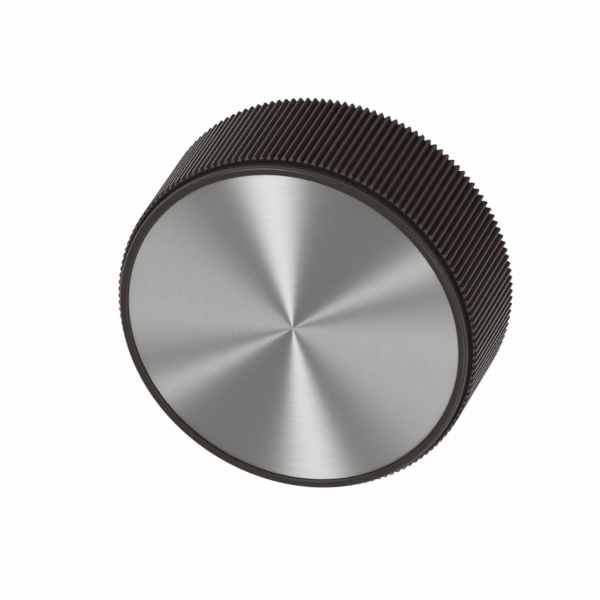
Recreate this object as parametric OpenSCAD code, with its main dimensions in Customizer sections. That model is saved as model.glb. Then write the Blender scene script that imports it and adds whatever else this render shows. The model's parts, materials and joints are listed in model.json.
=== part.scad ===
// Control knob: a straight-knurled moulding with a spun metal inlay, for a plain round shaft.
// The origin is the centre of the back rim. +Z runs along the shaft, out of the face. Millimetres.

/* [Overall] */
// Diameter over the crests of the knurl
knob_d = 50.8; // [46:0.1:58]
// Height from the back rim to the top of the face ring
knob_h = 19.05; // [18:0.05:24]

/* [Knurl] */
// Number of teeth round the skirt
tooth_count = 150; // [110:1:170]
// Depth of the teeth
tooth_depth = 0.6; // [0.35:0.05:0.7]
// Width of the narrow flat on each crest
tooth_crest = 0.16; // [0.08:0.02:0.3]
// Chamfer on the front ends of the teeth
knurl_chamfer = 0.35; // [0.1:0.05:0.5]

/* [Face ring] */
// Step from the tooth roots in to the wall of the ring
ring_inset = 0.18; // [0.05:0.01:0.5]
// Height of the ring above the front ends of the teeth
ring_h = 1.6; // [1.2:0.05:2.4]
// Width of the ring, from its wall to the inlay recess
ring_w = 1.18; // [0.9:0.02:2]
// Rounding of the outer edge of the ring
ring_round = 0.45; // [0.1:0.05:0.6]
// Rounding of the inner edge of the ring
ring_inner_round = 0.15; // [0.05:0.05:0.25]

/* [Inlay] */
// Depth of the inlay's face below the top of the ring
inlay_drop = 0.45; // [0.3:0.05:0.8]
// Thickness of the inlay sheet
inlay_t = 0.8; // [0.5:0.1:1.5]
// Small chamfer on the front edge of the inlay
inlay_chamfer = 0.08; // [0.02:0.01:0.2]
// Thickness of the adhesive film under the inlay
film_t = 0.15; // [0.05:0.01:0.3]
// Distance from the edge of the inlay in to the edge of the film
film_margin = 0.6; // [0.2:0.1:2]

/* [Moulding behind the face] */
// Thickness of the plate under the inlay recess
plate_t = 2.5; // [1.5:0.1:3.5]
// Thickness of the skirt at the rim, measured from the tooth roots
skirt_wall = 2.5; // [1.6:0.1:4]
// Draft of the hub and of the inside of the skirt
draft_angle = 1; // [0.25:0.25:2]
// Chamfer on the inner edge of the rim and on the end of the hub
edge_chamfer = 0.4; // [0.1:0.1:1]
// Fillet where the hub and the skirt meet the plate
root_fillet = 0.8; // [0.3:0.1:1.5]
// Depth from the rim to the end of the hub, for the panel nut of the shaft
nut_recess = 4.8; // [4.5:0.1:6]
// Wall of the hub round the bush
hub_wall = 3.1; // [2:0.1:4]
// Number of ribs between hub and skirt
rib_count = 8; // [4:4:16]
// Thickness of each rib
rib_t = 1.6; // [1:0.1:2.4]
// Height of the ribs' lower edges above the end of the hub
rib_rise = 1.2; // [0.5:0.1:3]

/* [Bush] */
// Diameter of the shaft
shaft_d = 6.35; // [5:0.05:8]
// Diameter of the bush over its knurl
bush_d = 12.7; // [11.5:0.1:15]
// Thickness of the moulding over the inner end of the bush
bush_cap = 3.15; // [2:0.05:5]
// Height of the bush's end beyond the end of the hub
bush_proud = 0.3; // [0.1:0.1:1]
// Number of anchoring teeth round the bush
bush_teeth = 36; // [24:1:48]
// Depth of the anchoring teeth
bush_tooth_depth = 0.35; // [0.2:0.05:0.5]
// Length of the plain collar at each end of the bush
bush_collar = 1.2; // [0.8:0.1:2]
// Step from the roots of the anchoring teeth in to the collars
collar_step = 0.15; // [0.05:0.05:0.4]
// Chamfer at the mouth of the bore
bore_chamfer = 0.4; // [0.1:0.1:0.8]

/* [Set screws] */
// Outside diameter of the screw thread
screw_d = 4.17; // [3:0.01:5]
// Length of each screw
screw_len = 6.35; // [5:0.05:8]
// Direction of the first screw from the +X axis
screw_angle = 45; // [30:15:60]
// Angle between the two screws
screw_spread = 90; // [75:15:120]
// Distance of the screws' tips behind the wall of the bore
screw_back_off = 0.3; // [0.1:0.05:1]
// Width across the flats of the hex socket
socket_af = 1.98; // [1.5:0.01:2.4]
// Depth of the hex socket
socket_depth = 2.2; // [1.5:0.1:3]
// Diameter of the cup at the tip
cup_d = 2.2; // [1.5:0.1:2.6]
// Depth of the cup at the tip
cup_depth = 0.5; // [0.2:0.1:0.8]
// Chamfer on both ends of the thread
screw_chamfer = 0.35; // [0.1:0.05:0.5]
// Wall of the boss round the key hole
boss_wall = 1.7; // [1.2:0.1:2.5]

/* [Clearances] */
// Gap between the inlay's edge and its recess
inlay_gap = 0.05; // [0.02:0.01:0.2]
// Difference in diameter between the bore and the shaft
bore_gap = 0.03; // [0.01:0.01:0.1]
// Gap round the screws in their thread
thread_gap = 0.03; // [0.01:0.01:0.1]
// Gap round a screw in the key hole, through which it goes in
key_gap = 0.35; // [0.15:0.05:0.6]

/* [Hidden] */
$fn = 96;
// Segments in a quarter round of a profile
ARC_STEPS = 6;
// Length by which a cut runs past the face that it goes through
OVER = 1;

knob_r = knob_d / 2;
root_r = knob_r - tooth_depth;
crest_angle = tooth_crest / knob_r * 180 / PI;

ring_r = root_r - ring_inset;
shoulder_z = knob_h - ring_h;
recess_r = ring_r - ring_w;

inlay_r = recess_r - inlay_gap;
inlay_z = knob_h - inlay_drop - inlay_t;
film_r = inlay_r - film_margin;
recess_z = inlay_z - film_t;

plate_z = recess_z - plate_t;
skirt_r = root_r - skirt_wall;
draft = tan(draft_angle);
skirt_top_r = skirt_r - draft * plate_z;

bush_r = bush_d / 2;
bush_root_r = bush_r - bush_tooth_depth;
collar_r = bush_root_r - collar_step;
bush_z = nut_recess - bush_proud;
bush_len = recess_z - bush_cap - bush_z;
bore_r = (shaft_d + bore_gap) / 2;
hub_r = bush_r + hub_wall;
hub_top_r = hub_r + draft * (plate_z - nut_recess);
rib_z = nut_recess + rib_rise;
// Ribs and bosses run from the middle of the hub's wall to the middle of the skirt's
web_from = bush_r + hub_wall / 2;
web_reach = root_r - skirt_wall / 2 - web_from;

screw_r = screw_d / 2;
screw_z = bush_z + bush_len / 2;
tip_x = bore_r + screw_back_off;
thread_r = screw_r + thread_gap;
thread_end_x = tip_x + screw_len;
key_r = screw_r + key_gap;
boss_r = key_r + boss_wall;
screw_angles = [screw_angle, screw_angle + screw_spread];

// Points of a quarter round about [x, y], from one angle to another
function arc(x, y, r, from, to) =
    [for (i = [0 : ARC_STEPS]) let (a = from + (to - from) * i / ARC_STEPS) [x + r * cos(a), y + r * sin(a)]];

// A point at a radius and an angle
function polar(r, a) = [r * cos(a), r * sin(a)];

// Outline of a straight knurl: each tooth has a narrow crest flat and two straight flanks
function knurl_points(count, crest_r, valley_r, flat_angle) =
    [for (i = [0 : count - 1]) let (a = i * 360 / count)
        each [
            polar(valley_r, a - 180 / count),
            polar(crest_r, a - flat_angle / 2),
            polar(crest_r, a + flat_angle / 2)
        ]];

// Half section of the moulding's outside: chamfered knurl end, shoulder, ring and recess.
// Below the chamfer it stands clear of the teeth.
module outside_profile() {
    polygon(concat(
        [[0, -OVER], [knob_r + OVER, -OVER], [knob_r + OVER, shoulder_z - knurl_chamfer - OVER]],
        [[knob_r - knurl_chamfer, shoulder_z], [ring_r, shoulder_z]],
        arc(ring_r - ring_round, knob_h - ring_round, ring_round, 0, 90),
        arc(recess_r + ring_inner_round, knob_h - ring_inner_round, ring_inner_round, 90, 180),
        [[recess_r, recess_z], [0, recess_z]]
    ));
}

// Half section of the hollow behind the face, between hub and skirt, with the nut recess below the hub
module hollow_profile() {
    polygon(concat(
        [[0, -OVER], [skirt_r + edge_chamfer + OVER, -OVER], [skirt_r, edge_chamfer]],
        arc(skirt_top_r - root_fillet, plate_z - root_fillet, root_fillet, 0, 90),
        arc(hub_top_r + root_fillet, plate_z - root_fillet, root_fillet, 90, 180),
        [[hub_r, nut_recess + edge_chamfer], [hub_r - edge_chamfer, nut_recess], [0, nut_recess]]
    ));
}

// Toothed bar that the skirt is cut from
module knurled_bar() {
    linear_extrude(knob_h + OVER)
        polygon(knurl_points(tooth_count, knob_r, root_r, crest_angle));
}

// One radial rib from the hub to the skirt, along +X
module rib() {
    translate([web_from, -rib_t / 2, rib_z])
        cube([web_reach, rib_t, plate_z - rib_z + plate_t / 2]);
}

// Boss round a set screw's key hole, along +X from the hub to the skirt
module screw_boss() {
    translate([web_from, 0, screw_z])
        rotate([0, 90, 0])
            cylinder(h = web_reach, r = boss_r);
}

// Threaded hole of a set screw and the wider key hole outside it, along +X
module screw_hole() {
    translate([0, 0, screw_z])
        rotate([0, 90, 0]) {
            cylinder(h = thread_end_x, r = thread_r);
            translate([0, 0, thread_end_x])
                cylinder(h = knob_r + OVER - thread_end_x, r = key_r);
        }
}

// Outside of the bush: a knurled barrel between two plain collars
module bush_blank() {
    translate([0, 0, bush_z])
        cylinder(h = bush_len, r = collar_r);
    translate([0, 0, bush_z + bush_collar])
        linear_extrude(bush_len - 2 * bush_collar)
            polygon(knurl_points(bush_teeth, bush_r, bush_root_r, 180 / bush_teeth));
}

// The one-piece moulding
module knob_body() {
    color("#2a2523")
        difference() {
            union() {
                difference() {
                    intersection() {
                        knurled_bar();
                        rotate_extrude()
                            outside_profile();
                    }
                    rotate_extrude()
                        hollow_profile();
                }
                for (i = [0 : rib_count - 1])
                    rotate(screw_angle + i * 360 / rib_count)
                        rib();
                for (a = screw_angles)
                    rotate(a)
                        screw_boss();
            }
            bush_blank();
            for (a = screw_angles)
                rotate(a)
                    screw_hole();
        }
}

// The spun sheet in the recess of the face
module face_inlay() {
    color("#b4b5b4")
        translate([0, 0, inlay_z])
            rotate_extrude()
                polygon([
                    [0, 0],
                    [inlay_r, 0],
                    [inlay_r, inlay_t - inlay_chamfer],
                    [inlay_r - inlay_chamfer, inlay_t],
                    [0, inlay_t]
                ]);
}

// The adhesive film between inlay and recess
module inlay_film() {
    color("#d8cfae")
        translate([0, 0, recess_z])
            cylinder(h = film_t, r = film_r);
}

// The turned bush with the shaft bore and the two screw threads
module shaft_bush() {
    color("#b08d45")
        difference() {
            bush_blank();
            translate([0, 0, bush_z - OVER])
                cylinder(h = bush_len + 2 * OVER, r = bore_r);
            translate([0, 0, bush_z])
                rotate_extrude()
                    polygon([
                        [0, -OVER],
                        [bore_r + bore_chamfer + OVER, -OVER],
                        [bore_r, bore_chamfer],
                        [0, bore_chamfer]
                    ]);
            for (a = screw_angles)
                rotate(a)
                    screw_hole();
        }
}

// One cup-point set screw along +X, backed off from the bore
module set_screw() {
    translate([tip_x, 0, screw_z])
        rotate([0, 90, 0])
            difference() {
                rotate_extrude()
                    polygon([
                        [0, cup_depth],
                        [cup_d / 2, 0],
                        [screw_r - screw_chamfer, 0],
                        [screw_r, screw_chamfer],
                        [screw_r, screw_len - screw_chamfer],
                        [screw_r - screw_chamfer, screw_len],
                        [0, screw_len]
                    ]);
                translate([0, 0, screw_len - socket_depth])
                    cylinder(h = socket_depth + OVER, d = socket_af / cos(30), $fn = 6);
            }
}

// Both set screws
module set_screws() {
    color("#3a3a3c")
        for (a = screw_angles)
            rotate(a)
                set_screw();
}

knob_body();
face_inlay();
inlay_film();
shaft_bush();
set_screws();
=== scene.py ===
"""Control knob: a black knurled moulding with a spun aluminium face, a brass bush and two set screws."""

import json
import math

import bmesh
import bpy
from mathutils import Matrix, Vector

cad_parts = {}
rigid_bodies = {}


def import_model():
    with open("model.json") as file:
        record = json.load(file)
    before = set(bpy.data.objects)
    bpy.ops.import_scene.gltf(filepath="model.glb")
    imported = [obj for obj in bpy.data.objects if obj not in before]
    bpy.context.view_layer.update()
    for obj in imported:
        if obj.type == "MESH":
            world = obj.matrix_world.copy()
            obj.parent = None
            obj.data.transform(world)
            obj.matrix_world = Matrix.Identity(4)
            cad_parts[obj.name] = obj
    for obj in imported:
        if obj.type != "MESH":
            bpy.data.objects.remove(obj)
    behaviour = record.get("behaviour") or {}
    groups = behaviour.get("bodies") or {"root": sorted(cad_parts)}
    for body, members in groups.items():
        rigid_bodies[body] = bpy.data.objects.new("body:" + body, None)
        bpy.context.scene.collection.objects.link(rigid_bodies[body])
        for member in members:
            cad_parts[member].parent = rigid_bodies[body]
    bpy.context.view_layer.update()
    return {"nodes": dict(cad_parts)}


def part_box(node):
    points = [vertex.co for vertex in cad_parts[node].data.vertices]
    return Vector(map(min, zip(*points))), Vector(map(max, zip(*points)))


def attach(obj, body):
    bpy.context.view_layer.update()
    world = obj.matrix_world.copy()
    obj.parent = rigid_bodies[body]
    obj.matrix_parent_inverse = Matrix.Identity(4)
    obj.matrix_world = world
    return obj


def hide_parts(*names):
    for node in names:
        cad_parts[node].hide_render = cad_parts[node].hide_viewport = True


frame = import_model()

bl_info = {
    "name": "Control Knob",
    "version": (1, 0, 0),
    "blender": (4, 5, 0),
    "location": "View3D > Sidebar > Knob",
    "description": "Models a knurled control knob with a spun metal face round its packed solids",
    "category": "Add Mesh",
}

MM = 0.001
# Distance within which two points of a mesh count as one place
NEAR = 0.002 * MM

# Heights and radii that the frame gives
KNOB_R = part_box("knob_body")[1].x
KNOB_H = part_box("knob_body")[1].z
INLAY_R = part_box("face_inlay")[1].x
INLAY_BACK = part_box("face_inlay")[0].z
INLAY_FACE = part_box("face_inlay")[1].z
RECESS_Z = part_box("inlay_film")[0].z
BUSH_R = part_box("shaft_bush")[1].x
BUSH_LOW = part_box("shaft_bush")[0].z
BUSH_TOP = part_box("shaft_bush")[1].z
SCREW_Z = (BUSH_LOW + BUSH_TOP) / 2

# Steps on half a crest, and on half a tooth with its flank
CREST_STEPS = 2
HALF_STEPS = CREST_STEPS + 1
# Sides of the large and the small turned surfaces, and steps in a quarter round
TURN_SIDES = 300
SMALL_SIDES = 64
ROUND_STEPS = 6
# Length by which a cutting tool runs past the face that it goes through
OVER = 1 * MM


def linear(text):
    """An sRGB hex colour as linear red, green, blue and alpha."""
    parts = [int(text[i : i + 2], 16) / 255 for i in (1, 3, 5)]
    return [c / 12.92 if c <= 0.04045 else ((c + 0.055) / 1.055) ** 2.4 for c in parts] + [1.0]


def length(name, description, millimetres):
    """A length property whose default is given in millimetres."""
    default = millimetres * MM
    return bpy.props.FloatProperty(
        name=name,
        description=description,
        default=default,
        min=0,
        precision=5,
        subtype="DISTANCE",
        unit="LENGTH",
    )


def angle(name, description, degrees):
    """An angle property whose default is given in degrees."""
    default = math.radians(degrees)
    return bpy.props.FloatProperty(
        name=name, description=description, default=default, subtype="ANGLE", unit="ROTATION"
    )


def share(name, description, default):
    """A property for a share or a strength, which has no unit."""
    return bpy.props.FloatProperty(
        name=name, description=description, default=default, min=0, subtype="FACTOR"
    )


def colour(name, description, text):
    """A colour property whose default is an sRGB hex value."""
    default = linear(text)
    return bpy.props.FloatVectorProperty(
        name=name, description=description, default=default, size=4, min=0, max=1, subtype="COLOR"
    )


class MouldingSizes(bpy.types.PropertyGroup):
    """Sizes of the one-piece moulding that its box doesn't give."""

    tooth_count: bpy.props.IntProperty(name="Teeth", description="Teeth round the skirt", default=150, min=3)
    tooth_depth: length("Tooth depth", "Depth of the skirt's teeth", 0.6)
    tooth_crest: length("Tooth crest", "Width of the narrow crest of each tooth", 0.24)
    crest_crown: length("Crest crown", "Height of the middle of a crest above its edges", 0.008)
    knurl_chamfer: length("Knurl chamfer", "Chamfer on the front ends of the teeth", 0.35)
    ring_inset: length("Ring inset", "Step from the tooth roots in to the ring's wall", 0.18)
    ring_h: length("Ring height", "Height of the ring above the front ends of the teeth", 1.6)
    ring_round: length("Ring round", "Rounding of the ring's outer edge", 0.45)
    ring_inner_round: length("Ring inner round", "Rounding of the ring's inner edge", 0.15)
    inlay_gap: length("Inlay gap", "Gap between the inlay's edge and its recess", 0.05)
    plate_t: length("Plate", "Thickness of the plate under the recess", 2.5)
    skirt_wall: length("Skirt wall", "Thickness of the skirt at the rim, from the tooth roots", 2.5)
    draft: angle("Draft", "Draft of the hub and of the skirt's inside", 1)
    edge_chamfer: length("Edge chamfer", "Chamfer on the rim's inner edge and on the hub's end", 0.4)
    root_fillet: length("Root fillet", "Fillet where hub and skirt meet the plate", 0.8)
    nut_recess: length("Nut recess", "Depth from the rim to the hub's end", 4.8)
    hub_wall: length("Hub wall", "Wall of the hub round the bush", 3.1)
    rib_count: bpy.props.IntProperty(name="Ribs", description="Ribs between hub and skirt", default=8, min=2)
    rib_t: length("Rib", "Thickness of each rib", 1.6)
    rib_rise: length("Rib rise", "Height of the ribs' lower edges above the hub's end", 1.2)
    rib_round: length("Rib round", "Rounding of the ribs' lower edges", 0.3)
    bush_collar: length("Bush collar", "Length of the plain collar at each end of the bush", 1.2)
    collar_step: length("Collar step", "Step from the bush's tooth crests in to its collars", 0.5)
    boss_wall: length("Boss wall", "Wall of the boss round a key hole", 1.7)
    key_gap: length("Key gap", "Gap round a screw in its key hole", 0.35)
    thread_gap: length("Thread gap", "Gap round a screw in its thread", 0.03)


class InlaySizes(bpy.types.PropertyGroup):
    """Sizes of the spun sheet that its box doesn't give."""

    edge_chamfer: length("Edge chamfer", "Chamfer on the sheet's front edge", 0.08)


class ScrewSizes(bpy.types.PropertyGroup):
    """Sizes of the set screws."""

    diameter: length("Diameter", "Outside diameter of the thread", 4.17)
    pitch: length("Pitch", "Pitch of the thread", 0.794)
    thread_depth: length("Thread depth", "Depth of the thread", 0.45)
    long: length("Length", "Length of each screw", 6.35)
    tip_x: length("Tip", "Distance of the screws' tips from the knob's axis", 3.49)
    chamfer: length("Chamfer", "Chamfer on both ends of the thread", 0.35)
    socket_af: length("Socket", "Width across the flats of the hex socket", 1.98)
    socket_depth: length("Socket depth", "Depth of the hex socket", 2.2)
    cup_d: length("Cup", "Diameter of the cup at the tip", 2.2)
    cup_depth: length("Cup depth", "Depth of the cup at the tip", 0.5)
    first: angle("First screw", "Direction of the first screw from the +X axis", 45)
    spread: angle("Spread", "Angle between the two screws", 90)


class KnobColours(bpy.types.PropertyGroup):
    """Colours of the knob's finishes."""

    moulding: colour("Moulding", "Smooth parts of the black moulding", "#443B36")
    moulding_dark: colour("Moulding, dark", "Darker mottling of the smooth parts", "#3A322D")
    # Grooves: painted darker than the ring, as shade between the teeth
    groove: colour("Grooves", "Grooves between the teeth, darkened as painted shade", "#432F27")
    groove_shade_dark: colour("Grooves, dark", "Darker mottling of the grooves", "#36201A")
    # Tooth ends: a paler colour of the same moulding, as a painted glint on each tooth's end
    tooth_end_glint: colour("Tooth ends", "Chamfered front ends of the teeth, paler as a painted glint", "#6E655F")
    # Shoulder and ring's wall: painted darker than the ring, as shade in the recess under it
    wall: colour("Shoulder", "Shoulder and the ring's wall, darkened as painted shade", "#352E2B")
    wall_shade_dark: colour("Shoulder, dark", "Darker mottling of the shoulder and the ring's wall", "#2B2422")
    # Crests: painted darker than the ring, as painted shade; their wear is the sheen bloom
    crest: colour("Crests", "Worn crests of the teeth, darkened as painted shade", "#2E2521")
    aluminium: colour("Aluminium", "Clean streaks of the spun sheet", "#F1F1EF")
    aluminium_dark: colour("Aluminium, dark", "Dull streaks of the spun sheet", "#D6D6D4")
    brass: colour("Brass", "Turned brass of the bush", "#C8A45A")
    brass_dark: colour("Brass, dark", "Tarnished lines of the bush", "#8F7139")
    film: colour("Film", "Adhesive film under the inlay", "#D8CFAE")
    film_dark: colour("Film, dark", "Clouding in the adhesive film", "#BFB38A")
    steel: colour("Steel", "Black-oxide steel of the set screws", "#4A4A4D")
    steel_dark: colour("Steel, dark", "Darker patches of the oxide", "#2C2C2E")


class StageSettings(bpy.types.PropertyGroup):
    """Floor, camera and lamps."""

    floor_w: length("Floor", "Width of the square floor", 6000)
    floor_colour: colour("Floor colour", "Colour of the floor", "#F4F4F2")
    floor_white: share("Floor white", "Share of plain white in what shows of the floor", 0.98)
    sky: share("Sky", "Strength of the plain light from all sides", 0.26)
    turn: angle("Turn", "Turn of the camera and the lamps about the knob's axis", 0.30)
    tilt: angle("Tilt", "Angle from the knob's axis to the line of sight", 34.335)
    roll: angle("Roll", "Turn of the camera about its line of sight", -32.96)
    distance: length("Distance", "Distance from the inlay's centre to the camera", 1169.35)
    lens: bpy.props.FloatProperty(
        name="Lens", description="Focal length", default=520.4, min=1, unit="CAMERA"
    )
    aim_right: length("Aim right", "Distance of the frame's centre right of the inlay's centre", 0.975)
    aim_up: length("Aim up", "Distance of the frame's centre above the inlay's centre", 3.802)


# Lamps: name, direction from the knob, width and distance in metres, and power in watts
LAMPS = [
    ("main_softbox", (0.568, -0.198, 0.799), 0.38, 0.9, 2.68),
    ("narrow_softbox", (-0.443, -0.302, 0.844), 0.175, 0.9, 0.90),
    ("side_softbox", (-0.566, 0.153, 0.810), 0.31, 0.9, 0.56),
    ("wide_softbox", (-0.497, 0.512, 0.700), 0.50, 0.9, 0.89),
]


def pick(test, kind="VERT"):
    """In edit mode, select the vertices whose place passes test, or the edges or faces of which every vertex
    passes."""
    bpy.ops.mesh.select_mode(type="VERT")
    bpy.ops.mesh.select_all(action="DESELECT")
    mesh = bpy.context.edit_object.data
    edit = bmesh.from_edit_mesh(mesh)
    passed = {v for v in edit.verts if test(v.co)}
    if kind == "VERT":
        chosen = passed
    elif kind == "EDGE":
        chosen = [e for e in edit.edges if passed.issuperset(e.verts)]
    else:
        chosen = [f for f in edit.faces if passed.issuperset(f.verts)]
    for item in chosen:
        item.select_set(True)
    bmesh.update_edit_mesh(mesh)


def begin(name):
    """Start an empty piece at the origin, in edit mode."""
    bpy.ops.object.select_all(action="DESELECT")
    bpy.ops.mesh.primitive_plane_add()
    piece = bpy.context.active_object
    piece.name = name
    piece.data.name = name
    bpy.ops.object.mode_set(mode="EDIT")
    bpy.ops.mesh.delete(type="VERT")
    return piece


def rotate(by, axis):
    """In edit mode, turn what is selected about an axis through the origin. With no window the operator
    turns the other way, so the angle is given with its sign changed."""
    bpy.ops.transform.rotate(value=-by, orient_axis=axis, center_override=(0, 0, 0))


def resize(by):
    """In edit mode, resize what is selected across, from the knob's axis."""
    bpy.ops.transform.resize(value=(by, by, 1), center_override=(0, 0, 0))


def rise(by):
    """In edit mode, extrude what is selected along Z."""
    bpy.ops.mesh.extrude_region_move(TRANSFORM_OT_translate={"value": (0, 0, by)})


def repeat_round(copies, by):
    """In edit mode, copy the whole mesh round Z, each copy one step on. Spin turns the other way too."""
    bpy.ops.mesh.select_all(action="SELECT")
    bpy.ops.mesh.spin(steps=copies, dupli=True, angle=-by * copies, center=(0, 0, 0), axis=(0, 0, 1))


def turn(profile, sides=TURN_SIDES):
    """In edit mode, turn a profile of (radius, height) points about Z: a circle that is extruded and resized
    from each point to the next. The last ring stays selected."""
    radius, height = profile[0]
    bpy.ops.mesh.select_all(action="DESELECT")
    bpy.ops.mesh.primitive_circle_add(vertices=sides, radius=radius, location=(0, 0, height))
    for next_radius, next_height in profile[1:]:
        rise(next_height - height)
        resize(next_radius / radius)
        radius, height = next_radius, next_height


def arc(centre_r, centre_z, radius, start, end):
    """Points of a quarter round in a turned profile, from one angle to another in degrees."""
    points = []
    for step in range(ROUND_STEPS + 1):
        a = math.radians(start + (end - start) * step / ROUND_STEPS)
        points.append((centre_r + radius * math.cos(a), centre_z + radius * math.sin(a)))
    return points


def end_edit(piece):
    """Merge doubles, turn the faces outwards and leave edit mode."""
    bpy.ops.mesh.select_all(action="SELECT")
    bpy.ops.mesh.remove_doubles(threshold=NEAR / 4)
    bpy.ops.mesh.normals_make_consistent(inside=False)
    bpy.ops.object.mode_set(mode="OBJECT")
    return piece


def smooth(piece, degrees=35):
    """Smooth all but the sharp edges."""
    bpy.ops.object.select_all(action="DESELECT")
    piece.select_set(True)
    bpy.context.view_layer.objects.active = piece
    bpy.ops.object.shade_smooth_by_angle(angle=math.radians(degrees))


def combine(piece, tool, operation):
    """Join, cut or intersect a piece with a tool, and remove the tool."""
    bpy.ops.object.select_all(action="DESELECT")
    piece.select_set(True)
    bpy.context.view_layer.objects.active = piece
    change = piece.modifiers.new(operation.lower(), "BOOLEAN")
    change.operation = operation
    change.solver = "MANIFOLD"
    change.object = tool
    bpy.ops.object.modifier_apply(modifier=change.name)
    bpy.data.objects.remove(tool)


def place(piece, node_name, material):
    """Give a finished piece its material and its place in the frame."""
    piece.data.materials.clear()
    piece.data.materials.append(material)
    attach(piece, "root")
    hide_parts(node_name)


def node(tree, kind, inputs=None, **settings):
    """Add a node. Settings go to the node, and inputs to its sockets, as values or as links from other
    sockets."""
    made = tree.nodes.new(kind)
    for name, value in settings.items():
        setattr(made, name, value)
    for socket, value in (inputs or {}).items():
        if isinstance(value, bpy.types.NodeSocket):
            tree.links.new(value, made.inputs[socket])
        else:
            made.inputs[socket].default_value = value
    return made


def new_material(name):
    """An empty node material and its tree."""
    material = bpy.data.materials.new(name)
    material.use_nodes = True
    material.node_tree.nodes.clear()
    return material, material.node_tree


def phenolic(name, dark, light, rough, specular, bloom=0.0):
    """Black phenolic, compression moulded: a brown-black with a faint mottle of its filler and a fine satin
    grain. Bloom is a pale veil of dust and wear, which shows at a glancing view."""
    material, tree = new_material(name)
    mottle_mm = 0.5
    grain_mm = 0.12
    satin_spread = 0.06
    at = node(tree, "ShaderNodeTexCoord").outputs["Object"]
    mottle = node(tree, "ShaderNodeTexNoise", {"Vector": at, "Scale": 1 / (mottle_mm * MM), "Detail": 4})
    grain = node(tree, "ShaderNodeTexNoise", {"Vector": at, "Scale": 1 / (grain_mm * MM), "Detail": 2})
    body = node(tree, "ShaderNodeMix", {0: mottle.outputs[0], 6: dark, 7: light}, data_type="RGBA")
    satin = node(
        tree,
        "ShaderNodeMapRange",
        {
            "Value": grain.outputs[0],
            "To Min": rough - satin_spread,
            "To Max": rough + satin_spread,
        },
    )
    bump = node(
        tree, "ShaderNodeBump", {"Strength": 0.15, "Distance": 0.01 * MM, "Height": grain.outputs[0]}
    )
    shader = node(
        tree,
        "ShaderNodeBsdfPrincipled",
        {
            "Base Color": body.outputs[2],
            "Roughness": satin.outputs[0],
            "IOR": 1.6,
            "Specular IOR Level": specular,
            "Sheen Weight": bloom,
            "Sheen Roughness": 0.3,
            "Normal": bump.outputs[0],
        },
    )
    node(tree, "ShaderNodeOutputMaterial", {"Surface": shader.outputs[0]})
    return material


def spun_aluminium(colours):
    """Aluminium sheet, spun against fine abrasive: concentric scratches spread each reflection along the
    radius, so every lamp shows as a bow tie through the centre, crossed by faint arc-shaped streaks. The
    streaks are coarser than real scratches, which would be too fine to show."""
    material, tree = new_material("Aluminium, spun")
    streak_mm = 0.16
    streak_arcs = 5
    at = node(tree, "ShaderNodeTexCoord").outputs["Object"]
    across = node(tree, "ShaderNodeVectorMath", {0: at, 1: (1, 1, 0)}, operation="MULTIPLY")
    radius = node(tree, "ShaderNodeVectorMath", {0: across.outputs[0]}, operation="LENGTH")
    heading = node(tree, "ShaderNodeVectorMath", {0: across.outputs[0]}, operation="NORMALIZE")
    around = node(
        tree, "ShaderNodeVectorMath", {0: heading.outputs[0], "Scale": streak_arcs}, operation="SCALE"
    )
    count = node(
        tree, "ShaderNodeMath", {0: radius.outputs["Value"], 1: 1 / (streak_mm * MM)}, operation="MULTIPLY"
    )
    out = node(tree, "ShaderNodeCombineXYZ", {"Z": count.outputs[0]})
    groove_at = node(
        tree, "ShaderNodeVectorMath", {0: around.outputs[0], 1: out.outputs[0]}, operation="ADD"
    )
    streaks = node(
        tree,
        "ShaderNodeTexNoise",
        {"Vector": groove_at.outputs[0], "Scale": 1, "Detail": 3, "Roughness": 0.6},
    )
    metal = node(
        tree,
        "ShaderNodeMix",
        {0: streaks.outputs[0], 6: colours.aluminium_dark, 7: colours.aluminium},
        data_type="RGBA",
    )
    grit = node(tree, "ShaderNodeMapRange", {"Value": streaks.outputs[0], "To Min": 0.36, "To Max": 0.46})
    bump = node(
        tree, "ShaderNodeBump", {"Strength": 0.1, "Distance": 0.004 * MM, "Height": streaks.outputs[0]}
    )
    lay = node(tree, "ShaderNodeTangent", direction_type="RADIAL", axis="Z")
    shader = node(
        tree,
        "ShaderNodeBsdfPrincipled",
        {
            "Base Color": metal.outputs[2],
            "Metallic": 1.0,
            "Roughness": grit.outputs[0],
            "Anisotropic": 1.0,
            "Anisotropic Rotation": 0.25,
            "Tangent": lay.outputs[0],
            "Normal": bump.outputs[0],
        },
    )
    node(tree, "ShaderNodeOutputMaterial", {"Surface": shader.outputs[0]})
    return material


def turned_brass(colours):
    """Free-cutting brass, turned: fine rings round the axis, bright with a slightly tarnished tool lay."""
    material, tree = new_material("Brass, turned")
    lay_mm = 0.12
    at = node(tree, "ShaderNodeTexCoord").outputs["Object"]
    apart = node(tree, "ShaderNodeSeparateXYZ", {0: at})
    across = node(tree, "ShaderNodeVectorMath", {0: at, 1: (1, 1, 0)}, operation="MULTIPLY")
    radius = node(tree, "ShaderNodeVectorMath", {0: across.outputs[0]}, operation="LENGTH")
    along = node(
        tree, "ShaderNodeMath", {0: radius.outputs["Value"], 1: apart.outputs["Z"]}, operation="ADD"
    )
    rings = node(
        tree,
        "ShaderNodeTexNoise",
        {"W": along.outputs[0], "Scale": 1 / (lay_mm * MM), "Detail": 3},
        noise_dimensions="1D",
    )
    metal = node(
        tree,
        "ShaderNodeMix",
        {0: rings.outputs[0], 6: colours.brass_dark, 7: colours.brass},
        data_type="RGBA",
    )
    grit = node(tree, "ShaderNodeMapRange", {"Value": rings.outputs[0], "To Min": 0.22, "To Max": 0.36})
    bump = node(tree, "ShaderNodeBump", {"Strength": 0.2, "Distance": 0.01 * MM, "Height": rings.outputs[0]})
    shader = node(
        tree,
        "ShaderNodeBsdfPrincipled",
        {
            "Base Color": metal.outputs[2],
            "Metallic": 1.0,
            "Roughness": grit.outputs[0],
            "Normal": bump.outputs[0],
        },
    )
    node(tree, "ShaderNodeOutputMaterial", {"Surface": shader.outputs[0]})
    return material


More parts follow.
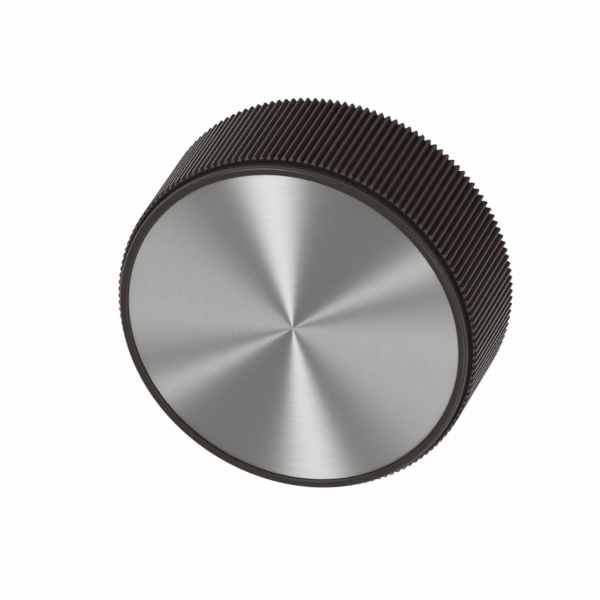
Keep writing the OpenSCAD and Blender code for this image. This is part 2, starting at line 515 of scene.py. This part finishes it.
def adhesive_film(colours):
    """Acrylic adhesive, cast as a film: pale amber, a little cloudy, with a soft gloss."""
    material, tree = new_material("Acrylic adhesive, film")
    cloud_mm = 2
    at = node(tree, "ShaderNodeTexCoord").outputs["Object"]
    cloud = node(tree, "ShaderNodeTexNoise", {"Vector": at, "Scale": 1 / (cloud_mm * MM), "Detail": 4})
    paint = node(
        tree,
        "ShaderNodeMix",
        {0: cloud.outputs[0], 6: colours.film_dark, 7: colours.film},
        data_type="RGBA",
    )
    gloss = node(tree, "ShaderNodeMapRange", {"Value": cloud.outputs[0], "To Min": 0.25, "To Max": 0.4})
    shader = node(
        tree,
        "ShaderNodeBsdfPrincipled",
        {"Base Color": paint.outputs[2], "Roughness": gloss.outputs[0], "IOR": 1.47},
    )
    node(tree, "ShaderNodeOutputMaterial", {"Surface": shader.outputs[0]})
    return material


def oxide_steel(colours):
    """Alloy steel, black oxide: a dark oily metal with uneven patches."""
    material, tree = new_material("Alloy steel, black oxide")
    patch_mm = 0.6
    at = node(tree, "ShaderNodeTexCoord").outputs["Object"]
    patches = node(tree, "ShaderNodeTexNoise", {"Vector": at, "Scale": 1 / (patch_mm * MM), "Detail": 5})
    metal = node(
        tree,
        "ShaderNodeMix",
        {0: patches.outputs[0], 6: colours.steel_dark, 7: colours.steel},
        data_type="RGBA",
    )
    grit = node(tree, "ShaderNodeMapRange", {"Value": patches.outputs[0], "To Min": 0.3, "To Max": 0.5})
    shader = node(
        tree,
        "ShaderNodeBsdfPrincipled",
        {"Base Color": metal.outputs[2], "Metallic": 1.0, "Roughness": grit.outputs[0]},
    )
    node(tree, "ShaderNodeOutputMaterial", {"Surface": shader.outputs[0]})
    return material


def studio_floor(settings):
    """Painted studio floor: matt off-white that takes the knob's shadow, and shows as nearly plain white to
    the eye and in reflections."""
    material, tree = new_material("Studio floor, matt paint")
    path = node(tree, "ShaderNodeLightPath")
    mirrored = node(
        tree,
        "ShaderNodeMath",
        {0: path.outputs["Is Glossy Ray"], 1: path.outputs["Is Transmission Ray"]},
        operation="ADD",
    )
    seen = node(
        tree,
        "ShaderNodeMath",
        {0: path.outputs["Is Camera Ray"], 1: mirrored.outputs[0]},
        operation="ADD",
        use_clamp=True,
    )
    white = node(tree, "ShaderNodeMath", {0: seen.outputs[0], 1: settings.floor_white}, operation="MULTIPLY")
    paint = node(tree, "ShaderNodeBsdfDiffuse", {"Color": settings.floor_colour})
    glow = node(tree, "ShaderNodeEmission", {"Color": (1, 1, 1, 1), "Strength": 1.0})
    mixed = node(
        tree, "ShaderNodeMixShader", {0: white.outputs[0], 1: paint.outputs[0], 2: glow.outputs[0]}
    )
    node(tree, "ShaderNodeOutputMaterial", {"Surface": mixed.outputs[0]})
    return material


def tooth_points(sizes, cut):
    """Angle from the crest's middle and radius of each point on half a tooth, from crest to root. The crest
    is crowned; where the chamfer has cut it down by cut, it is flat and reaches out to the flanks."""
    half_pitch = math.pi / sizes.tooth_count
    edge = sizes.tooth_crest / 2 / KNOB_R
    crown = sizes.crest_crown
    if cut > crown:
        edge += (half_pitch - edge) * (cut - crown) / (sizes.tooth_depth - crown)
    points = []
    for step in range(CREST_STEPS + 1):
        part = step / CREST_STEPS
        points.append((edge * part, KNOB_R - max(cut, crown * part**2)))
    return points + [(half_pitch, KNOB_R - sizes.tooth_depth)]


def shape_teeth(sizes, height, old, new):
    """In edit mode, move the ring of points at a height from one form of the teeth to another."""
    pitch = 2 * math.pi / sizes.tooth_count
    near = NEAR / KNOB_R

    def phase(co):
        """Angle of a point from the middle of the nearest crest."""
        heading = math.atan2(co.y, co.x)
        return heading - pitch * round(heading / pitch)

    def matches(co, from_crest):
        """Whether a point is at the height and at this angle from a crest, on either side."""
        return abs(co.z - height) < NEAR and abs(abs(phase(co)) - from_crest) < near

    for (old_angle, old_r), (new_angle, new_r) in zip(old, new):
        pick(lambda co: matches(co, old_angle))
        resize(new_r / old_r)
        shift = new_angle - old_angle
        if abs(shift) < near:
            continue
        for side in (1, -1):
            pick(lambda co: matches(co, old_angle) and side * phase(co) > 0)
            rotate(side * shift, "Z")


def finish_faces(piece, finishes):
    """Give each finish to the faces that lie past a radius and between two heights. Later finishes hold."""
    bpy.context.view_layer.objects.active = piece
    bpy.ops.object.mode_set(mode="EDIT")
    for material, least_r, low_z, high_z in finishes:
        piece.data.materials.append(material)
        pick(
            lambda co: math.hypot(co.x, co.y) > least_r - NEAR and low_z - NEAR < co.z < high_z + NEAR,
            "FACE",
        )
        piece.active_material_index = len(piece.data.materials) - 1
        bpy.ops.object.material_slot_assign()
    bpy.ops.object.mode_set(mode="OBJECT")


def lay_along_screws(screw):
    """In edit mode, lay a mesh that stands on Z along the first screw, and copy it to the second."""
    bpy.ops.mesh.select_all(action="SELECT")
    rotate(math.pi / 2, "Y")
    bpy.ops.transform.translate(value=(0, 0, SCREW_Z))
    rotate(screw.first, "Z")
    repeat_round(1, screw.spread)


class KNOB_OT_moulding(bpy.types.Operator):
    """Model the one-piece moulding: knurled skirt, ring, recess, hub, ribs and screw bosses"""

    bl_idname = "knob.moulding"
    bl_label = "Knurled Moulding"

    def execute(self, context):
        sizes = context.scene.knob_moulding
        screw = context.scene.knob_screws
        shoulder_z = KNOB_H - sizes.ring_h
        root_r = KNOB_R - sizes.tooth_depth
        piece = begin("knob_moulding")

        # Skirt: a circle drawn into teeth, raised, then drawn in along the chamfer
        steps = sizes.tooth_count * 2 * HALF_STEPS
        plain = [(2 * math.pi / steps * i, KNOB_R) for i in range(HALF_STEPS + 1)]
        form = tooth_points(sizes, 0)
        bpy.ops.mesh.primitive_circle_add(vertices=steps, radius=KNOB_R)
        shape_teeth(sizes, 0, plain, form)
        bpy.ops.mesh.select_all(action="SELECT")
        rise(shoulder_z - sizes.knurl_chamfer)
        rise(sizes.knurl_chamfer)
        shape_teeth(sizes, shoulder_z, form, tooth_points(sizes, sizes.knurl_chamfer))

        # Ring and inlay recess, joined to the front ends of the teeth by the shoulder
        ring_r = root_r - sizes.ring_inset
        recess_r = INLAY_R + sizes.inlay_gap
        turn(
            [(ring_r, shoulder_z)]
            + arc(ring_r - sizes.ring_round, KNOB_H - sizes.ring_round, sizes.ring_round, 0, 90)
            + arc(
                recess_r + sizes.ring_inner_round,
                KNOB_H - sizes.ring_inner_round,
                sizes.ring_inner_round,
                90,
                180,
            )
            + [(recess_r, RECESS_Z)]
        )
        bpy.ops.mesh.edge_face_add()
        pick(lambda co: abs(co.z - shoulder_z) < NEAR, "EDGE")
        bpy.ops.mesh.bridge_edge_loops()

        # Hollow behind the face, hub and bush seat, joined to the teeth by the back rim
        plate_z = RECESS_Z - sizes.plate_t
        slope = math.tan(sizes.draft)
        skirt_r = root_r - sizes.skirt_wall
        skirt_top_r = skirt_r - slope * plate_z
        hub_r = BUSH_R + sizes.hub_wall
        hub_top_r = hub_r + slope * (plate_z - sizes.nut_recess)
        collar_r = BUSH_R - sizes.collar_step
        fillet = sizes.root_fillet
        turn(
            [(skirt_r + sizes.edge_chamfer, 0), (skirt_r, sizes.edge_chamfer)]
            + arc(skirt_top_r - fillet, plate_z - fillet, fillet, 0, 90)
            + arc(hub_top_r + fillet, plate_z - fillet, fillet, 90, 180)
            + [
                (hub_r, sizes.nut_recess + sizes.edge_chamfer),
                (hub_r - sizes.edge_chamfer, sizes.nut_recess),
                (collar_r, sizes.nut_recess),
                (collar_r, BUSH_LOW + sizes.bush_collar),
                (BUSH_R, BUSH_LOW + sizes.bush_collar),
                (BUSH_R, BUSH_TOP - sizes.bush_collar),
                (collar_r, BUSH_TOP - sizes.bush_collar),
                (collar_r, BUSH_TOP),
            ]
        )
        bpy.ops.mesh.edge_face_add()
        bpy.ops.mesh.select_linked()
        bpy.ops.mesh.flip_normals()
        pick(lambda co: abs(co.z) < NEAR, "EDGE")
        bpy.ops.mesh.bridge_edge_loops()
        end_edit(piece)

        # Ribs from the middle of the hub's wall to the middle of the skirt's, with rounded lower edges
        web_from = BUSH_R + sizes.hub_wall / 2
        web_to = root_r - sizes.skirt_wall / 2
        rib_z = sizes.nut_recess + sizes.rib_rise
        rib_top = plate_z + sizes.plate_t / 2
        ribs = begin("ribs")
        bpy.ops.mesh.primitive_cube_add(size=1)
        bpy.ops.transform.resize(
            value=(web_to - web_from, sizes.rib_t, rib_top - rib_z), center_override=(0, 0, 0)
        )
        bpy.ops.transform.translate(value=((web_from + web_to) / 2, 0, (rib_z + rib_top) / 2))
        pick(lambda co: abs(co.z - rib_z) < NEAR, "EDGE")
        bpy.ops.mesh.bevel(offset=sizes.rib_round, segments=3, affect="EDGES")
        bpy.ops.mesh.select_all(action="SELECT")
        rotate(screw.first, "Z")
        repeat_round(sizes.rib_count - 1, 2 * math.pi / sizes.rib_count)
        combine(piece, end_edit(ribs), "UNION")

        # Bosses along the screws, then thread and key holes through them from inside the bush's seat
        key_r = screw.diameter / 2 + sizes.key_gap
        thread_r = screw.diameter / 2 + sizes.thread_gap
        thread_end = screw.tip_x + screw.long
        boss_r = key_r + sizes.boss_wall
        boss = [(boss_r, web_from), (boss_r, web_to)]
        drill_from = BUSH_R / 2
        drill = [(thread_r, drill_from), (thread_r, thread_end), (key_r, thread_end), (key_r, KNOB_R + OVER)]
        for name, profile, operation in (("bosses", boss, "UNION"), ("drills", drill, "DIFFERENCE")):
            tool = begin(name)
            turn(profile, SMALL_SIDES)
            bpy.ops.mesh.edge_face_add()
            pick(lambda co: abs(co.z - profile[0][1]) < NEAR, "EDGE")
            bpy.ops.mesh.edge_face_add()
            lay_along_screws(screw)
            combine(piece, end_edit(tool), operation)

        smooth(piece)

        # Ring and back: a satin black
        colours = context.scene.knob_colours
        dark = colours.moulding_dark
        satin = phenolic(
            "Black phenolic, moulded", dark, colours.moulding, rough=0.3, specular=0.35
        )
        # Grooves: a dull red-brown, painted darker than the ring as shade between the crests
        grooves = phenolic(
            "Black phenolic, grooves with painted shade",
            colours.groove_shade_dark,
            colours.groove,
            rough=0.5,
            specular=0.05,
            bloom=0.15,
        )
        # Shoulder and ring's wall: a dull near-black, painted shade in the recess under the ring, that sets
        # the ring off from the teeth
        shaded_walls = phenolic(
            "Black phenolic, shoulder with painted shade", colours.wall_shade_dark, colours.wall, rough=0.5, specular=0.1
        )
        # Tooth ends: paler, a painted glint, so that each tooth ends in a light dot
        ends = phenolic(
            "Black phenolic, tooth ends with painted glints", dark, colours.tooth_end_glint, rough=0.4, specular=0.5
        )
        # Crests: painted darker than the ring as shade, so they are dark when faced, with pale lines of
        # sheen at a glancing view
        crests = phenolic(
            "Black phenolic, worn crests with painted shade", dark, colours.crest, rough=0.15, specular=0.1, bloom=1.0
        )
        place(piece, "knob_body", satin)
        chamfer_z = shoulder_z - sizes.knurl_chamfer
        finish_faces(
            piece,
            (
                (grooves, root_r, 0, shoulder_z),
                (shaded_walls, ring_r, shoulder_z, KNOB_H - sizes.ring_round),
                (ends, KNOB_R - sizes.knurl_chamfer, chamfer_z, shoulder_z),
                (crests, KNOB_R - sizes.crest_crown, 0, chamfer_z),
            ),
        )
        return {"FINISHED"}


class KNOB_OT_inlay(bpy.types.Operator):
    """Model the spun sheet in the face"""

    bl_idname = "knob.inlay"
    bl_label = "Spun Inlay"

    def execute(self, context):
        chamfer = context.scene.knob_inlay.edge_chamfer
        piece = begin("spun_inlay")
        turn(
            [
                (INLAY_R, INLAY_BACK),
                (INLAY_R, INLAY_FACE - chamfer),
                (INLAY_R - chamfer, INLAY_FACE),
            ]
        )
        bpy.ops.mesh.edge_face_add()
        pick(lambda co: abs(co.z - INLAY_BACK) < NEAR, "EDGE")
        bpy.ops.mesh.edge_face_add()
        end_edit(piece)
        smooth(piece, degrees=30)
        place(piece, "face_inlay", spun_aluminium(context.scene.knob_colours))
        return {"FINISHED"}


class KNOB_OT_set_screws(bpy.types.Operator):
    """Model the two set screws, with thread, hex socket and cup point"""

    bl_idname = "knob.set_screws"
    bl_label = "Set Screws"

    def execute(self, context):
        screw = context.scene.knob_screws
        radius = screw.diameter / 2
        cup_r = screw.cup_d / 2

        # Blank with chamfered ends, a cup at the tip and a hex socket at the other end
        blank = begin("set_screws")
        turn(
            [
                (cup_r, 0),
                (radius - screw.chamfer, 0),
                (radius, screw.chamfer),
                (radius, screw.long - screw.chamfer),
                (radius - screw.chamfer, screw.long),
            ],
            SMALL_SIDES,
        )
        bpy.ops.mesh.edge_face_add()
        pick(lambda co: abs(co.z) < NEAR and abs(math.hypot(co.x, co.y) - cup_r) < NEAR, "EDGE")
        rise(screw.cup_depth)
        bpy.ops.mesh.merge(type="CENTER")
        end_edit(blank)
        socket = begin("socket")
        socket_r = screw.socket_af / 2 / math.cos(math.pi / 6)
        bpy.ops.mesh.primitive_cylinder_add(vertices=6, radius=socket_r, depth=2 * screw.socket_depth)
        bpy.ops.transform.translate(value=(0, 0, screw.long))
        combine(blank, end_edit(socket), "DIFFERENCE")

        # Thread: a V swept along a helix past both ends of the blank, closed to the axis, cut to the blank
        thread = begin("thread")
        run_in = 3
        run_out = 1
        turns = run_in + math.ceil(screw.long / screw.pitch) + run_out
        inner = radius - screw.thread_depth
        bpy.ops.mesh.primitive_plane_add(size=MM)
        bpy.ops.mesh.merge(type="CENTER")
        bpy.ops.transform.translate(value=(inner, 0, -run_in * screw.pitch))
        for step in (screw.thread_depth, -screw.thread_depth):
            bpy.ops.mesh.extrude_region_move(TRANSFORM_OT_translate={"value": (step, 0, screw.pitch / 2)})
        bpy.ops.object.mode_set(mode="OBJECT")
        sweep = thread.modifiers.new("sweep", "SCREW")
        sweep.axis = "Z"
        sweep.angle = 2 * math.pi
        sweep.screw_offset = screw.pitch
        sweep.iterations = turns
        sweep.steps = SMALL_SIDES
        sweep.render_steps = SMALL_SIDES
        bpy.ops.object.modifier_apply(modifier=sweep.name)
        bpy.ops.object.mode_set(mode="EDIT")
        bpy.ops.mesh.select_all(action="SELECT")
        bpy.ops.mesh.remove_doubles(threshold=NEAR)
        for low in (True, False):
            bpy.ops.mesh.select_mode(type="EDGE")
            bpy.ops.mesh.select_all(action="DESELECT")
            edit = bmesh.from_edit_mesh(thread.data)
            for edge in edit.edges:
                if edge.is_boundary and (edge.verts[0].co.z < screw.long / 2) == low:
                    edge.select_set(True)
            bmesh.update_edit_mesh(thread.data)
            bpy.ops.mesh.extrude_region_move(TRANSFORM_OT_translate={"value": (0, 0, 0)})
            bpy.ops.mesh.merge(type="CENTER")
        end_edit(thread)
        combine(blank, thread, "INTERSECT")

        bpy.context.view_layer.objects.active = blank
        bpy.ops.object.mode_set(mode="EDIT")
        bpy.ops.mesh.select_all(action="SELECT")
        bpy.ops.transform.translate(value=(0, 0, screw.tip_x))
        lay_along_screws(screw)
        end_edit(blank)
        smooth(blank, degrees=30)
        place(blank, "set_screws", oxide_steel(context.scene.knob_colours))
        return {"FINISHED"}


class KNOB_OT_bush_and_film(bpy.types.Operator):
    """Finish the brass bush and the adhesive film, which keep their own solids"""

    bl_idname = "knob.bush_and_film"
    bl_label = "Bush and Film"

    def execute(self, context):
        colours = context.scene.knob_colours
        finishes = {"shaft_bush": turned_brass(colours), "inlay_film": adhesive_film(colours)}
        for name, material in finishes.items():
            frame["nodes"][name].material_slots[0].material = material
        return {"FINISHED"}


class KNOB_OT_stage(bpy.types.Operator):
    """Set up the floor, the camera, the lamps and the plain light from all sides"""

    bl_idname = "knob.stage"
    bl_label = "Stage"

    def execute(self, context):
        scene = context.scene
        settings = scene.knob_stage
        scene.view_settings.view_transform = "Standard"
        target = Vector((0, 0, INLAY_FACE))
        swing = Matrix.Rotation(settings.turn, 3, "Z")

        bpy.ops.object.select_all(action="DESELECT")
        bpy.ops.mesh.primitive_plane_add(size=settings.floor_w)
        floor = context.active_object
        floor.name = "studio_floor"
        floor.data.materials.append(studio_floor(settings))

        world = bpy.data.worlds.new("Plain sky")
        world.use_nodes = True
        world.node_tree.nodes.clear()
        sky = node(
            world.node_tree,
            "ShaderNodeBackground",
            {"Color": (1, 1, 1, 1), "Strength": settings.sky},
        )
        node(world.node_tree, "ShaderNodeOutputWorld", {"Surface": sky.outputs[0]})
        scene.world = world

        for name, direction, width, away, power in LAMPS:
            toward = swing @ Vector(direction).normalized()
            bpy.ops.object.light_add(type="AREA", location=target + toward * away)
            lamp = context.active_object
            lamp.name = name
            lamp.rotation_euler = toward.to_track_quat("Z", "Y").to_euler()
            lamp.data.shape = "DISK"
            lamp.data.size = width
            lamp.data.energy = power

        # The line of sight leans from the axis towards -Y, and the frame is turned about it
        sight = swing @ Vector((0, -math.sin(settings.tilt), math.cos(settings.tilt)))
        level = swing @ Vector((-1, 0, 0))
        upright = sight.cross(level)
        right = math.cos(settings.roll) * level - math.sin(settings.roll) * upright
        up = sight.cross(right)
        bpy.ops.object.camera_add()
        camera = context.active_object
        camera.name = "camera"
        camera.data.lens = settings.lens
        stand = target + right * settings.aim_right + up * settings.aim_up + sight * settings.distance
        camera.matrix_world = Matrix.Translation(stand) @ Matrix((right, up, sight)).transposed().to_4x4()
        scene.camera = camera
        return {"FINISHED"}


class VIEW3D_PT_knob(bpy.types.Panel):
    """Lists the steps that model the knob"""

    bl_label = "Control Knob"
    bl_space_type = "VIEW_3D"
    bl_region_type = "UI"
    bl_category = "Knob"

    def draw(self, context):
        for operator in OPERATORS:
            self.layout.operator(operator.bl_idname)


OPERATORS = (KNOB_OT_stage, KNOB_OT_moulding, KNOB_OT_inlay, KNOB_OT_bush_and_film, KNOB_OT_set_screws)
GROUPS = {
    "knob_moulding": MouldingSizes,
    "knob_inlay": InlaySizes,
    "knob_screws": ScrewSizes,
    "knob_colours": KnobColours,
    "knob_stage": StageSettings,
}


def register():
    """Register the classes and hang the settings on the scene."""
    for cls in (*GROUPS.values(), *OPERATORS, VIEW3D_PT_knob):
        bpy.utils.register_class(cls)
    for name, group in GROUPS.items():
        setattr(bpy.types.Scene, name, bpy.props.PointerProperty(type=group))


def unregister():
    """Take the settings off the scene and unregister the classes."""
    for name in GROUPS:
        delattr(bpy.types.Scene, name)
    for cls in (VIEW3D_PT_knob, *reversed(OPERATORS), *reversed(GROUPS.values())):
        bpy.utils.unregister_class(cls)


def main():
    """Register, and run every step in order."""
    register()
    bpy.ops.knob.stage()
    bpy.ops.knob.moulding()
    bpy.ops.knob.inlay()
    bpy.ops.knob.bush_and_film()
    bpy.ops.knob.set_screws()


if __name__ == "__main__":
    main()
